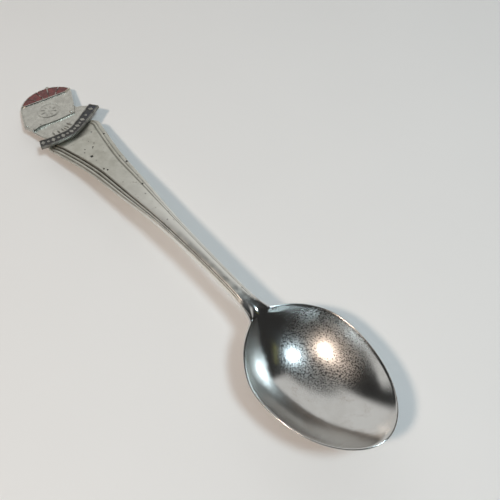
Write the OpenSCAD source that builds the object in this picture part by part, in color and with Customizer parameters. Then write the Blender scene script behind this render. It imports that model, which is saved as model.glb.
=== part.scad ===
// Souvenir spoon with a soldered, enamelled badge on its handle, lying face up on a table.
// X runs from the bowl's tip to the badge, Y across the spoon and Z up. The origin lies on the
// table under the middle of the length. Lengths along the spoon (s) are measured from the tip.

/* [Bowl] */
// Width of the bowl at its widest
bowl_w = 22.9; // [21:0.1:25]
// Distance from the tip to the widest place
bowl_front_l = 18.3; // [16:0.1:20]
// Distance from the widest place to the back of the hollow
bowl_back_l = 13.4; // [12.4:0.1:15]
// Height of the rim's top above the table at the tip
tip_h = 10; // [9:0.1:10.8]
// Height of the rim's top beside the deepest place
rim_h = 8; // [7.4:0.1:8.6]
// Thickness of the bowl
bowl_t = 0.95; // [0.7:0.05:1.3]

/* [Handle] */
// Width of the neck, the narrowest place
neck_w = 3.3; // [2.8:0.1:4.5]
// Height of the neck's top edge above the table
neck_h = 8.1; // [7.4:0.1:9]
// Thickness through the middle of the neck
neck_t = 2.4; // [1.8:0.1:3]
// Width halfway along the handle
handle_mid_w = 6.8; // [6:0.1:9]
// Width of the handle's end, under the badge
handle_end_w = 14.4; // [13:0.2:16]
// Thickness of the handle near its end
handle_t = 1.3; // [1:0.05:1.8]
// Depth of the two grooves of the threaded border
groove_h = 0.26; // [0.1:0.02:0.3]

/* [Badge] */
// Thickness of the struck plate under its relief
plate_t = 0.5; // [0.4:0.05:1]
// Height of the walls and ornaments over the plate
relief_h = 0.35; // [0.3:0.05:0.6]
// Depth of the enamel in its cells
enamel_h = 0.22; // [0.12:0.01:0.26]
// Width of the walls between the cells
wall_w = 0.3; // [0.2:0.02:0.4]
// Radius of the crest's round top
crest_r = 7.6; // [7.2:0.1:8]
// Width of the scroll under the crest
scroll_w = 2.6; // [2.4:0.1:3]
// Number of ornaments on the scroll
ornaments = 13; // [5:2:13]
// Thickness of the solder under the plate
solder_t = 0.12; // [0.08:0.02:0.2]

/* [Hidden] */

steel = [0.72, 0.72, 0.69];
badge_steel = [0.62, 0.62, 0.58];
solder_grey = [0.52, 0.52, 0.5];
red = [0.42, 0.14, 0.13];
dark = [0.12, 0.12, 0.13];

overall_l = 118.69;
handle_s = 97;                      // where the badge's own frame starts on the handle
badge_rest = 3.35;                  // height of the plate's back there
tilt = atan(badge_rest / (overall_l - handle_s));   // the plate's far edge lies on the table
round_tip = 1.06;                   // fullness of the bowl's outline, 1 for an ellipse
round_back = 1.2;
wall_steepness = 0.25;              // of the bowl's wall: 0 for a parabola, 1 for a fourth power
neck_soft = 0.3;                    // softness of the hollow's end at the neck
blend_power = 2.5;                  // tightness of the fillet from the bowl to the neck
tip_rows = 9;
cols = 9;                           // grid columns on each side of the centre line

// --- helpers -------------------------------------------------------------------------------

function mix(a, b, t) = a + (b - a) * t;
function ramp(a, b, x) = let (t = max(0, min(1, (x - a) / (b - a)))) t * t * (3 - 2 * t);
function slot_of(t, x, i = 0) = i >= len(t) - 2 || x < t[i + 1][0] ? i : slot_of(t, x, i + 1);
function rate(t, i) =
    let (a = max(i - 1, 0), b = min(i + 1, len(t) - 1))
    (t[b][1] - t[a][1]) / (t[b][0] - t[a][0]);

// A smooth curve through a short list of [distance, value] stations.
function along(t, x) =
    let (
        i = slot_of(t, x),
        h = t[i + 1][0] - t[i][0],
        f = max(0, min(1, (x - t[i][0]) / h)),
        g = f * f * (3 - 2 * f)
    )
    mix(t[i][1], t[i + 1][1], g)
        + h * f * (1 - f) * (rate(t, i) * (1 - f) - rate(t, i + 1) * f);

// --- spoon body: one stamping ---------------------------------------------------------------

full_s = 97.4;                      // where the handle reaches its full width
pad_from = 94;                      // where it starts to turn into the badge's pad

// Height of the rim and of the handle's edges above the table.
edge_heights = [
    [0, tip_h], [9, mix(tip_h, rim_h, 0.65)], [18.6, rim_h], [32, mix(rim_h, neck_h, 0.3)],
    [44, neck_h], [58, 0.95 * neck_h], [72, 0.81 * neck_h], [86, 0.62 * neck_h],
    [handle_s, badge_rest]
];
handle_halves = [
    [30, neck_w / 2], [46, neck_w / 2], [60, mix(neck_w, handle_mid_w, 0.3) / 2],
    [72, handle_mid_w / 2], [84, mix(handle_mid_w, handle_end_w, 0.31) / 2],
    [94, mix(handle_mid_w, handle_end_w, 0.79) / 2], [full_s, handle_end_w / 2]
];
// Distances in from the edge of the threaded border's lines: bead, groove, bead, groove, panel.
border = [0, 0.22, 0.5, 0.8, 1.08, 1.4, 1.72, 2.1, 2.6];

border_half = 4.2;                  // half width of the handle from which the border is full size
fine_groove = 0.2;                  // half widths of the two grooves
wide_groove = 0.3;

deep_s = bowl_front_l;
hollow_h = rim_h - bowl_t;
flare_s = 31.5;                     // where the neck starts to flare into the bowl
flare_l = 2.2;
crown_h = 0.45;                     // rise of the neck's and handle's middle over their edges

function fullness(s) = mix(round_tip, round_back, ramp(deep_s, deep_s + 8, s));
// Distance from the deepest place, as a part of the bowl's length on that side.
function reach(s) = (s - deep_s) / mix(bowl_front_l, bowl_back_l, ramp(deep_s - 8, deep_s + 8, s));
function hollow_half(s) =
    let (x = reach(s))
    x >= 1 ? 0 : bowl_w / 2 * pow(1 - x * x, fullness(s) / 2);
function neck_half(s) = along(handle_halves, s) + min(1, exp((flare_s - s) / flare_l));
function half_w(s) = pow(
    pow(hollow_half(s), blend_power) + pow(neck_half(s), blend_power), 1 / blend_power);

// Square of the radius in the bowl's plan: 0 at the deepest place and 1 on the rim.
function plan_r2(s, y) =
    let (x = reach(s), free = max(0.02, 1 - x * x))
    x * x + pow(y / half_w(deep_s), 2) * pow(free, 1 - fullness(s));
// Share of the way from the centre line to the edge, squared.
function side_share(s, y) = min(1, pow(y / half_w(min(s, full_s)), 2));
// The hollow has a crisp rim, but it runs out softly into the neck.
function hollow(s, y) =
    let (
        q = plan_r2(s, y),
        depth = 1 - q * mix(1, q, wall_steepness),
        soft = neck_soft * ramp(deep_s + 6, flare_s, s) * pow(1 - side_share(s, y), 2)
    )
    hollow_h * (depth + sqrt(depth * depth + soft * soft)) / 2;

// The pad that carries the badge is parallel to the plate's back.
function pad_z(s) = badge_rest - solder_t / cos(tilt) - tan(tilt) * (s - handle_s);
function crown(s) = crown_h * ramp(30, 40, s) * (1 - 0.4 * ramp(60, 90, s));
function groove(s, y) =
    let (
        k = min(1, half_w(s) / border_half),
        d = (half_w(s) - abs(y)) / k,
        c1 = (d - border[4]) / fine_groove,
        c2 = (d - border[6]) / wide_groove,
        edge = max(0, 1 - d / border[2])
    )
    groove_h * k * ramp(34, 39, s) * (max(0, 1 - abs(c1)) + max(0, 1 - abs(c2)) + edge * edge);
function top_z(s, y) =
    let (
        q = side_share(s, y),
        free = along(edge_heights, s) + crown(s) * (1 - q) - hollow(s, y) - groove(s, y)
    )
    mix(free, pad_z(s), ramp(pad_from, handle_s, s));

function edge_t(s) = mix(mix(bowl_t, 0.6 * neck_t, ramp(26, 37, s)), 0.85 * handle_t, ramp(48, 72, s));
function middle_t(s) = mix(mix(bowl_t, neck_t, ramp(26, 37, s)), handle_t, ramp(48, 72, s));
function bottom_z(s, y) =
    let (q = side_share(s, y))
    top_z(s, y) - mix(middle_t(s), edge_t(s), q) + 0.6 * groove(s, y);

// Rows of plan points. Around the tip they curve with the rim, and then they run straight across.
function across(j) = (j - cols) / cols;
function tip_row(u) = [
    for (j = [0:2 * cols])
        let (v = across(j), y = v * sqrt(1 - u * u / 2))
        [
            deep_s - bowl_front_l * u * sqrt(1 - v * v / 2),
            half_w(deep_s) * sign(y) * pow(abs(y), round_tip)
        ]
];
function straight_row(s, half, bulge = 0) = [
    for (j = [0:2 * cols])
        let (
            v = across(j),
            k = min(1, half / border_half),
            from_edge = cols - abs(j - cols),
            bowl_y = half * pow(abs(v), round_tip),
            handle_y = from_edge == cols ? 0 : half - border[from_edge] * k,
            y = sign(v) * mix(bowl_y, handle_y, ramp(30, 37, s) * (1 - ramp(95, handle_s, s)))
        )
        [s + bulge * (1 - pow(y / half, 2)), y]
];
function stations(a, b, n) = [for (i = [1:n]) mix(a, b, i / n)];
straight = concat(
    stations(deep_s, flare_s, 9), stations(flare_s, 40, 8), stations(40, pad_from, 16), [95.5, handle_s]
);
// The handle's rounded end, as [distance, half width, bulge at the centre].
end_rows = [[97.6, 0.5, 0.6], [98.3, 0.48, 1.6], [99.2, 0.4, 2.6]];
plan = concat(
    [for (i = [tip_rows:-1:0]) tip_row(i / tip_rows)],
    [for (s = straight) straight_row(s, half_w(s))],
    [for (e = end_rows) straight_row(e[0], e[1] * handle_end_w, e[2])]
);

module spoon_body() {
    n = 2 * cols + 1;
    rows = len(plan);
    sheet = n * rows;
    tops = [for (r = plan) for (p = r) [p.x, p.y, top_z(p.x, p.y)]];
    bottoms = [for (r = plan) for (p = r) [p.x, p.y, bottom_z(p.x, p.y)]];
    faces = concat(
        [for (i = [0:rows - 2]) for (j = [0:n - 2]) let (a = i * n + j) [a, a + 1, a + n + 1, a + n]],
        [for (i = [0:rows - 2]) for (j = [0:n - 2]) let (a = sheet + i * n + j) [a, a + n, a + n + 1, a + 1]],
        [for (j = [0:n - 2]) [j, sheet + j, sheet + j + 1, j + 1]],
        [for (j = [0:n - 2]) let (a = sheet - n + j) [a, a + 1, sheet + a + 1, sheet + a]],
        [for (i = [0:rows - 2]) let (a = i * n) [a, a + n, sheet + a + n, sheet + a]],
        [for (i = [0:rows - 2]) let (a = i * n + n - 1) [a, sheet + a, sheet + a + n, a + n]]
    );
    color(steel) translate([-overall_l / 2, 0, 0]) polyhedron(concat(tops, bottoms), faces);
}

// --- badge: drawn flat, with x along the spoon from handle_s, then tilted onto the pad --------

crest_c = [13.9, -1.5];
crest_from = -70;
crest_to = 60;
cap_d = 3.3;                        // distance of the cap's straight edge from the arc's centre
cap_a = -11;                        // and the way it faces
cap_from = -67;
cell_a = 23.4;                      // angle of a cap cell with its wall
cell_wall_a = 1.7;                  // angle of the wall
field_h = 0.16;                     // how far the shield's field stands over the web
pool_floor = plate_t + relief_h - enamel_h;
scroll_path = [
    [2.2, 8.0], [1.4, 5.6], [0.9, 2.8], [0.8, 0.2], [1.7, -2.2], [3.2, -4.8], [5.8, -9.2]
];
scroll_steps = 36;
web_join = 0.17;                    // where the web's left side meets it, as a part of its length
pool_from = 0.02;                   // ends of the scroll's enamel
pool_to = 0.98;
row_from = 0.03;                    // ends of its row of ornaments
row_to = 0.97;

function arc(c, r, a, b, n) = [for (i = [0:n]) c + r * [cos(mix(a, b, i / n)), sin(mix(a, b, i / n))]];
function point(p, i) = p[max(0, min(len(p) - 1, i))];
// A smooth path through the points, for t from 0 to 1.
function path(p, t) =
    let (
        x = t * (len(p) - 1),
        i = min(floor(x), len(p) - 2),
        f = x - i,
        a = point(p, i - 1),
        b = point(p, i),
        c = point(p, i + 1),
        d = point(p, i + 2)
    )
    b + f / 2 * (c - a + f * (2 * a - 5 * b + 4 * c - d + f * (3 * b - a - 3 * c + d)));
function heading(t) =
    let (v = path(scroll_path, min(1, t + 0.01)) - path(scroll_path, max(0, t - 0.01)))
    v / norm(v);
function beside(t, w) = path(scroll_path, t) + w * [-heading(t).y, heading(t).x];
function band(a, b, w) = concat(
    [for (i = [0:scroll_steps]) beside(mix(a, b, i / scroll_steps), -w)],
    [for (i = [scroll_steps:-1:0]) beside(mix(a, b, i / scroll_steps), w)]
);
function left_of(v) = [-v.y, v.x] / norm(v);
// The outline d further in, for points that run anticlockwise.
function inset(p, d) = [
    for (i = [0:len(p) - 1])
        let (
            before = p[(i + len(p) - 1) % len(p)],
            after = p[(i + 1) % len(p)],
            m = left_of(p[i] - before) + left_of(after - p[i])
        )
        p[i] + 2 * d / (m * m) * m
];

crest_arc = arc(crest_c, crest_r, crest_from, crest_to, 32);
shield = concat(crest_arc, [
    [14.3, 6.4], [12.1, 7.1], [10.8, 7.6], [9.2, 7.1], [7.9, 6.7],
    [8.2, 4.6], [7.9, 2.4], [7.4, 0], [7.0, -4.2], [9.3, -5.5], [12.9, -7.1]
]);
// The plate's whole outline: round the shield, down the web, round the scroll and back.
plate_outline = concat(
    crest_arc,
    [[14.3, 6.4], [12.1, 7.1], [10.8, 7.6], [9.2, 7.1], [7.6, 6.8], [6.0, 6.5], [4.2, 6.0]],
    [for (i = [6:-1:0]) beside(web_join * i / 6, scroll_w / 2)],
    [for (i = [0:scroll_steps]) beside(i / scroll_steps, -scroll_w / 2)],
    [beside(1, scroll_w / 2), [8.3, -6.9], [9.3, -5.5], [12.9, -7.1]]
);
corner_beads = [[10.6, 7.0], [8.3, 6.2], [8.6, 4.2], [7.9, -3.7]];
bead_r = 0.4;
bead_h = 0.1;                       // how far the beads stand over the walls
knob_r = 0.65;
knob_at = crest_c + [crest_r - 0.2, -2.9];
lozenge = [[0.5, 0], [0, 0.75], [-0.5, 0], [0, -0.75]];
pellet_r = 0.34;

module on_handle(z = 0) {
    translate([handle_s - overall_l / 2, 0, badge_rest])
        rotate([0, tilt, 0])
            translate([0, 0, z]) children();
}

// Cap cell i, from 0 to 4, between the crest's arc and the cap's straight edge.
module cap_cell(i) {
    from = cap_from + cell_a * i;
    to = from + cell_a - cell_wall_a;
    inner = [
        for (k = [0:6])
            let (
                a = mix(to, from, k / 6),
                r = min(crest_r - 1.6 * wall_w, cap_d / cos(a - cap_a))
            )
            crest_c + r * [cos(a), sin(a)]
    ];
    polygon(concat(arc(crest_c, crest_r - wall_w, from, to, 6), inner));
}

// The cap's whole ground, from the crest's edge to just inside its straight edge.
module cap_ground() {
    from = cap_from - cell_wall_a;
    to = cap_from + 5 * cell_a;
    inner = [
        for (k = [0:24])
            let (
                a = mix(to, from, k / 24),
                r = min(crest_r - 1.5 * wall_w, cap_d / cos(a - cap_a)) - wall_w
            )
            crest_c + r * [cos(a), sin(a)]
    ];
    polygon(concat(arc(crest_c, crest_r, from, to, 32), inner));
}

module ornament(i) {
    t = mix(row_from, row_to, (i + 0.5) / ornaments);
    translate(path(scroll_path, t))
        rotate(atan2(heading(t).y, heading(t).x))
            if (i % 2 == 0) polygon(lozenge);
            else circle(r = pellet_r, $fn = 24);
}

// The scroll's sunk ground, round its ornaments.
module scroll_ground() {
    difference() {
        polygon(band(pool_from, pool_to, scroll_w / 2 - wall_w));
        for (i = [0:ornaments - 1]) ornament(i);
    }
}

module badge_plate() {
    top = plate_t + relief_h;
    color(badge_steel) on_handle() {
        linear_extrude(plate_t) polygon(plate_outline);
        linear_extrude(plate_t + field_h) polygon(shield);
        linear_extrude(top) difference() {
            polygon(shield);
            polygon(inset(shield, wall_w));
        }
        linear_extrude(pool_floor) cap_ground();
        linear_extrude(top) difference() {
            cap_ground();
            for (i = [0:4]) cap_cell(i);
        }
        linear_extrude(pool_floor) polygon(band(0, 1, scroll_w / 2));
        linear_extrude(top) difference() {
            polygon(band(0, 1, scroll_w / 2));
            scroll_ground();
        }
        for (p = corner_beads) translate([p.x, p.y, 0]) cylinder(r = bead_r, h = top + bead_h, $fn = 24);
        // knob on the crown of the arc
        translate(knob_at) cylinder(r = knob_r, h = top, $fn = 32);
    }
}

// Thin wedge of solder between the pad and the plate, inside both outlines.
module solder_joint() {
    end_x = end_rows[2][0] - handle_s;
    pad_half = 5.2;
    color(solder_grey) on_handle(-solder_t) linear_extrude(solder_t) polygon(concat(
        [for (y = [-pad_half:pad_half / 6:pad_half]) [end_x + 2.4 * (1 - pow(y / pad_half, 2)), y]],
        [[0.9, pad_half], [0.7, 0], [end_x, -pad_half]]
    ));
}

module red_enamel(i) {
    color(red) on_handle(pool_floor) linear_extrude(enamel_h) cap_cell(i);
}

module scroll_enamel() {
    color(dark) on_handle(pool_floor) linear_extrude(enamel_h) scroll_ground();
}

spoon_body();
solder_joint();
badge_plate();
red_enamel(0);  // red_enamel_1
red_enamel(1);  // red_enamel_2
red_enamel(2);  // red_enamel_3
red_enamel(3);  // red_enamel_4
red_enamel(4);  // red_enamel_5
scroll_enamel();
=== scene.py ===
import math

import bpy
import numpy as np
from mathutils import Matrix, Vector
from mathutils.geometry import delaunay_2d_cdt


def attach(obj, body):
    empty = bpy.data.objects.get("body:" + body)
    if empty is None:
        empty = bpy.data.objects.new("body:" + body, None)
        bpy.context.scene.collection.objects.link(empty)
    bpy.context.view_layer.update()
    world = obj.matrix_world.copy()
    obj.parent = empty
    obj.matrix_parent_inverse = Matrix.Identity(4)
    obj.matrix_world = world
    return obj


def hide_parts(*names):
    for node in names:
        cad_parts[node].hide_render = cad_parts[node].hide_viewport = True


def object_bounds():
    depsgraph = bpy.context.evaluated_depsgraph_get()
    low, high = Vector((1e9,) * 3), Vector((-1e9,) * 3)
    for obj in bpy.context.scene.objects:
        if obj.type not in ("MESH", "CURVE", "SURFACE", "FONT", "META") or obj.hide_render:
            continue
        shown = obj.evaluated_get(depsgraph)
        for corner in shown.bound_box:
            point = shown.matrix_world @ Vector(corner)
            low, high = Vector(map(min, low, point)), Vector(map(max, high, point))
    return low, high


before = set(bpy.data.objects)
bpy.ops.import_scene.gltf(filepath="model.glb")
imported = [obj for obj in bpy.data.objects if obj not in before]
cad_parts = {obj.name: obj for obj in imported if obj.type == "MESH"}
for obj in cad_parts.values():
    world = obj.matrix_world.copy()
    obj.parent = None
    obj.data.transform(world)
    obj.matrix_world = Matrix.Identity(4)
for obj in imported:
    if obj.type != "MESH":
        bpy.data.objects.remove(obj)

cad_lo, cad_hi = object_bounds()

LENGTH = 118.69                             # the whole spoon, tip to badge
MM = (cad_hi.x - cad_lo.x) / LENGTH         # one drawn millimetre in the frame
BOWL_W = 22.9
BOWL_FRONT = 18.3                           # tip to the widest place
BOWL_BACK = 13.4                            # widest place to the hollow's back
TIP_H = 10.0
RIM_H = 8.0
BOWL_T = 0.95
NECK_S = 40.0                               # on the neck, where the crown is full and the pits' shares start
NECK_W = 3.3
NECK_H = 8.1
NECK_T = 2.4
HANDLE_MID_W = 6.8
HANDLE_END_W = 14.4
HANDLE_T = 1.3
HANDLE_S = 97.0                             # where the badge's own frame starts
FULL_S = 97.4                               # where the handle is at its widest
BADGE_REST = 3.35                           # height of the plate's back there
SOLDER_T = 0.12
TILT = math.atan(BADGE_REST / (LENGTH - HANDLE_S))


# --- camera -------------------------------------------------------------------------------------

TABLE_TURN = math.radians(135.7)           # how the spoon lies on the table, seen by the camera
LOOK_AT_S = 46.89
LOOK_AT_Y = -11.61
EYE_HEIGHT = math.radians(57.83)
EYE_ROLL = math.radians(4.33)
EYE_DISTANCE = 123.96
LENS = 40.59


def table_way(right, away, up=0.0):
    """A direction as the camera's side of the table sees it, in the frame's axes."""
    c, s = math.cos(TABLE_TURN), math.sin(TABLE_TURN)
    return Vector((right * c + away * s, away * c - right * s, up))


def place(s, y, z):
    """A drawn point in the frame, in metres."""
    return np.stack([cad_lo.x + np.asarray(s) * MM, np.asarray(y) * MM + 0 * s, cad_lo.z + z * MM], -1)


def make_camera():
    ahead = table_way(0, math.cos(EYE_HEIGHT), -math.sin(EYE_HEIGHT))
    level = table_way(1, 0)
    up = level.cross(ahead)
    right = math.cos(EYE_ROLL) * level + math.sin(EYE_ROLL) * up
    over = math.cos(EYE_ROLL) * up - math.sin(EYE_ROLL) * level
    data = bpy.data.cameras.new("camera")
    data.lens = LENS
    data.sensor_width = 36
    data.clip_start = 0.005
    data.clip_end = 20
    camera = bpy.data.objects.new("camera", data)
    bpy.context.scene.collection.objects.link(camera)
    target = Vector(place(LOOK_AT_S, LOOK_AT_Y, 0.0))
    turn = Matrix((right, over, -ahead)).transposed().to_4x4()
    camera.matrix_world = Matrix.Translation(target - ahead * EYE_DISTANCE * MM) @ turn
    bpy.context.scene.camera = camera


make_camera()


# --- helpers ------------------------------------------------------------------------------------

def mix(a, b, t):
    return a + (b - a) * t


def ramp(a, b, x):
    t = np.clip((x - a) / (b - a), 0, 1)
    return t * t * (3 - 2 * t)


def along(stations, x):
    """A smooth curve through a short list of (distance, value) stations."""
    xs, ys = np.array(stations, float).T
    rate = np.empty(len(xs))
    rate[1:-1] = (ys[2:] - ys[:-2]) / (xs[2:] - xs[:-2])
    rate[0] = (ys[1] - ys[0]) / (xs[1] - xs[0])
    rate[-1] = (ys[-1] - ys[-2]) / (xs[-1] - xs[-2])
    x = np.asarray(x, float)
    i = np.clip(np.searchsorted(xs, x, side="right") - 1, 0, len(xs) - 2)
    h = xs[i + 1] - xs[i]
    f = np.clip((x - xs[i]) / h, 0, 1)
    between = mix(ys[i], ys[i + 1], f * f * (3 - 2 * f))
    return between + h * f * (1 - f) * (rate[i] * (1 - f) - rate[i + 1] * f)


def build(name, points, faces, sharp_angle=None, **attributes):
    """A mesh piece from drawn points, shaded smooth except over edges sharper than sharp_angle."""
    mesh = bpy.data.meshes.new(name)
    mesh.from_pydata([tuple(p) for p in points], [], [tuple(f) for f in faces])
    for key, values in attributes.items():
        layer = mesh.attributes.new(key, "FLOAT", "POINT")
        layer.data.foreach_set("value", np.asarray(values, np.float32))
    mesh.validate()
    mesh.polygons.foreach_set("use_smooth", [True] * len(mesh.polygons))
    if sharp_angle:
        mesh.set_sharp_from_angle(angle=math.radians(sharp_angle))
    piece = bpy.data.objects.new(name, mesh)
    bpy.context.scene.collection.objects.link(piece)
    return piece


def hand_in(piece, node, material):
    piece.data.materials.append(material)
    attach(piece, "root")
    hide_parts(node)


# --- spoon body: one stamping -------------------------------------------------------------------

EDGE_HEIGHTS = [
    (0, TIP_H), (9, mix(TIP_H, RIM_H, 0.65)), (18.6, RIM_H), (32, mix(RIM_H, NECK_H, 0.3)),
    (44, NECK_H), (58, 0.95 * NECK_H), (72, 0.81 * NECK_H), (86, 0.62 * NECK_H),
    (HANDLE_S, BADGE_REST),
]
HALF_WIDTHS = [
    (30, NECK_W / 2), (46, NECK_W / 2), (60, mix(NECK_W, HANDLE_MID_W, 0.3) / 2),
    (72, HANDLE_MID_W / 2), (84, mix(HANDLE_MID_W, HANDLE_END_W, 0.31) / 2),
    (94, mix(HANDLE_MID_W, HANDLE_END_W, 0.79) / 2), (FULL_S, HANDLE_END_W / 2),
]
ROUND_TIP = 1.06                            # fullness of the bowl's outline, 1 for an ellipse
ROUND_BACK = 1.2
WALL_STEEPNESS = 0.25                       # of the bowl's wall: 0 for a parabola, 1 for a fourth power
NECK_SOFT = 0.3                             # softness of the hollow's end at the neck
HOLLOW_SOFT = 0.03                          # how gently the hollow starts at the rim
BLEND_POWER = 2.5                           # tightness of the fillet from the bowl to the neck
FLARE_S, FLARE_L = 31.5, 2.2
CROWN_H = 0.45                              # rise of the neck's and handle's middle over their edges
THICKEN_FROM, THICKEN_TO = 26, 37           # from the bowl's thickness to the neck's
THIN_FROM, THIN_TO = 48, 72                 # from the neck's thickness to the handle's
BORDER_FROM, BORDER_TO = 34, 39             # where the threaded border fades in
PAD_FROM = 94                               # where the handle turns into the badge's pad
BORDER_HALF = 4.2                           # half width from which the border is full size
THREAD_D, THREAD_HALF = 0.52, 0.5           # the border's two threads: way in from the edge, half width
FINE_D, FINE_HALF = 1.38, 0.33
PANEL_FROM, PANEL_TO = 1.72, 2.2
GROOVE_H = 0.36
WORN_SIDE = 0.5                             # depth of the border's grooves on the worn side
ROUND_OVER = 0.5                            # reach of the rounded edge
EDGE_COLS, BORDER_COLS, PANEL_COLS = 6, 26, 14
TIP_ROWS, BACK_ROWS, NECK_ROWS, HANDLE_ROWS, PAD_ROWS, END_ROWS = 48, 72, 42, 152, 14, 9
END_FROM, END_L, END_BULGE = 97.0, 2.2, 2.6
END_NARROWING = 0.2                         # loss of width over the rounded end


def fullness(s):
    return mix(ROUND_TIP, ROUND_BACK, ramp(BOWL_FRONT, BOWL_FRONT + 8, s))


def reach(s):
    """Distance from the deepest place, as a part of the bowl's length on that side."""
    return (s - BOWL_FRONT) / mix(BOWL_FRONT, BOWL_BACK, ramp(BOWL_FRONT - 8, BOWL_FRONT + 8, s))


def half_width(s):
    x = reach(s)
    bowl = np.where(x >= 1, 0, BOWL_W / 2 * np.clip(1 - x * x, 0, 1) ** (fullness(s) / 2))
    neck = along(HALF_WIDTHS, s) + np.minimum(1, np.exp((FLARE_S - s) / FLARE_L))
    return (bowl ** BLEND_POWER + neck ** BLEND_POWER) ** (1 / BLEND_POWER)


WIDEST = float(half_width(np.array(BOWL_FRONT)))


def hollow(s, y):
    x = reach(s)
    q = x * x + (y / WIDEST) ** 2 * np.maximum(0.02, 1 - x * x) ** (1 - fullness(s))
    t = 1 - q * mix(1, q, WALL_STEEPNESS)
    neck = NECK_SOFT * ramp(BOWL_FRONT + 6, FLARE_S, s) * (1 - squareness(s, y)) ** 2
    t = (t + np.sqrt(t * t + neck * neck)) / 2
    soft = (np.sqrt(t * t + HOLLOW_SOFT ** 2) - HOLLOW_SOFT) / (math.hypot(1, HOLLOW_SOFT) - HOLLOW_SOFT)
    return (RIM_H - BOWL_T) * soft


def squareness(s, y):
    return np.minimum(1, (y / half_width(np.minimum(s, FULL_S))) ** 2)


def top_height(s, y):
    crown = CROWN_H * ramp(30, NECK_S, s) * (1 - 0.4 * ramp(60, 90, s))
    free = along(EDGE_HEIGHTS, s) + crown * (1 - squareness(s, y)) - hollow(s, y)
    pad = BADGE_REST - SOLDER_T / math.cos(TILT) - math.tan(TILT) * (s - HANDLE_S)
    return mix(free, pad, ramp(PAD_FROM, HANDLE_S, s))


def edge_thickness(s):
    neck = mix(BOWL_T, 0.6 * NECK_T, ramp(THICKEN_FROM, THICKEN_TO, s))
    return mix(neck, 0.85 * HANDLE_T, ramp(THIN_FROM, THIN_TO, s))


def thickness(s, y):
    neck = mix(BOWL_T, NECK_T, ramp(THICKEN_FROM, THICKEN_TO, s))
    middle = mix(neck, HANDLE_T, ramp(THIN_FROM, THIN_TO, s))
    return mix(middle, edge_thickness(s), squareness(s, y))


def edge_share():
    """Ways in from the edge, as parts of the rounded edge's reach, closer together at the rim."""
    return 1 - np.cos(np.linspace(0, math.pi / 2, EDGE_COLS + 1))


def straight_row(half, slope, handle_part):
    """Half a row of y values from the edge to the middle, and their true distances from the edge."""
    k = min(1, half / BORDER_HALF)
    stretch = math.hypot(1, slope)
    rounded = half - ROUND_OVER * mix(1, k, handle_part) * stretch * edge_share()
    inside = BORDER_COLS + PANEL_COLS
    bowl = rounded[-1] * (1 - np.arange(1, inside + 1) / inside)
    lines = half - mix(ROUND_OVER, PANEL_TO + 0.5, np.arange(1, BORDER_COLS + 1) / BORDER_COLS) * k
    panel = lines[-1] * (1 - np.arange(1, PANEL_COLS + 1) / PANEL_COLS)
    y = np.concatenate([rounded, mix(bowl, np.concatenate([lines, panel]), handle_part)])
    return y, (half - y) / stretch, k


def mirrored(row, sign=1):
    return np.concatenate([sign * row, row[-2::-1]])


def spoon_plan():
    """Rows from the tip to the handle's end: s, y, way in from the edge, border scale, rounding."""
    rows = []
    edge = edge_share() * ROUND_OVER
    inside = BORDER_COLS + PANEL_COLS
    flat = 1 - edge[-1] / WIDEST
    v = np.concatenate([1 - edge / WIDEST, flat * (1 - np.arange(1, inside + 1) / inside)])
    front = 1 - edge[-1] / BOWL_FRONT
    front_rows = front * (1 - np.arange(1, TIP_ROWS + 1) / (TIP_ROWS + 1))
    for u in np.concatenate([1 - edge / BOWL_FRONT, front_rows]):
        x, w = u * np.sqrt(1 - v * v / 2), v * np.sqrt(1 - u * u / 2)
        r = np.hypot(x, w)
        d = (1 - r) * r / np.maximum(1e-6, np.hypot(x / BOWL_FRONT, w / WIDEST))
        y = WIDEST * w ** ROUND_TIP
        s = BOWL_FRONT * (1 - x)
        rows.append((mirrored(s), mirrored(y, -1), mirrored(np.maximum(d, 0)), 1.0, ROUND_OVER))
    stations = np.concatenate([
        np.linspace(BOWL_FRONT, FLARE_S, BACK_ROWS), np.linspace(FLARE_S, NECK_S, NECK_ROWS)[1:],
        np.linspace(NECK_S, PAD_FROM, HANDLE_ROWS)[1:], np.linspace(PAD_FROM, END_FROM, PAD_ROWS)[1:],
    ])
    for s in stations:
        half = float(half_width(s))
        slope = float(half_width(s + 0.01) - half_width(s - 0.01)) / 0.02
        part = float(ramp(30, 37, s))
        y, d, k = straight_row(half, slope, part)
        rounded = ROUND_OVER * mix(1, k, part)
        rows.append((np.full(2 * len(y) - 1, s), mirrored(y, -1), mirrored(d), k, rounded))
    near_end = 0.2
    end_rows = np.linspace(0, 1 - near_end, END_ROWS)[1:]
    for e in np.concatenate([end_rows, 1 - near_end * edge_share()[-2::-1]]):
        half = float(half_width(END_FROM)) * (1 - END_NARROWING * e ** 2.6)
        y, d, k = straight_row(half, 0, 1)
        s = END_FROM + END_L * e + END_BULGE * e ** 1.2 * (1 - (y / half) ** 2)
        to_end = (1 - e) / near_end * ROUND_OVER
        corner = np.hypot(np.maximum(0, ROUND_OVER - d), max(0, ROUND_OVER - to_end))
        d = np.where(corner > 0, np.maximum(0, ROUND_OVER - corner), d)
        rows.append((mirrored(s), mirrored(y, -1), mirrored(d), k, ROUND_OVER))
    return rows


def bead(d, centre, half):
    """Height of a round thread across the border, from 0 in the groove to 1 on its crest."""
    t = np.abs(d - centre) / half
    return np.sqrt(np.maximum(0, 1 - t * t))


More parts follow.
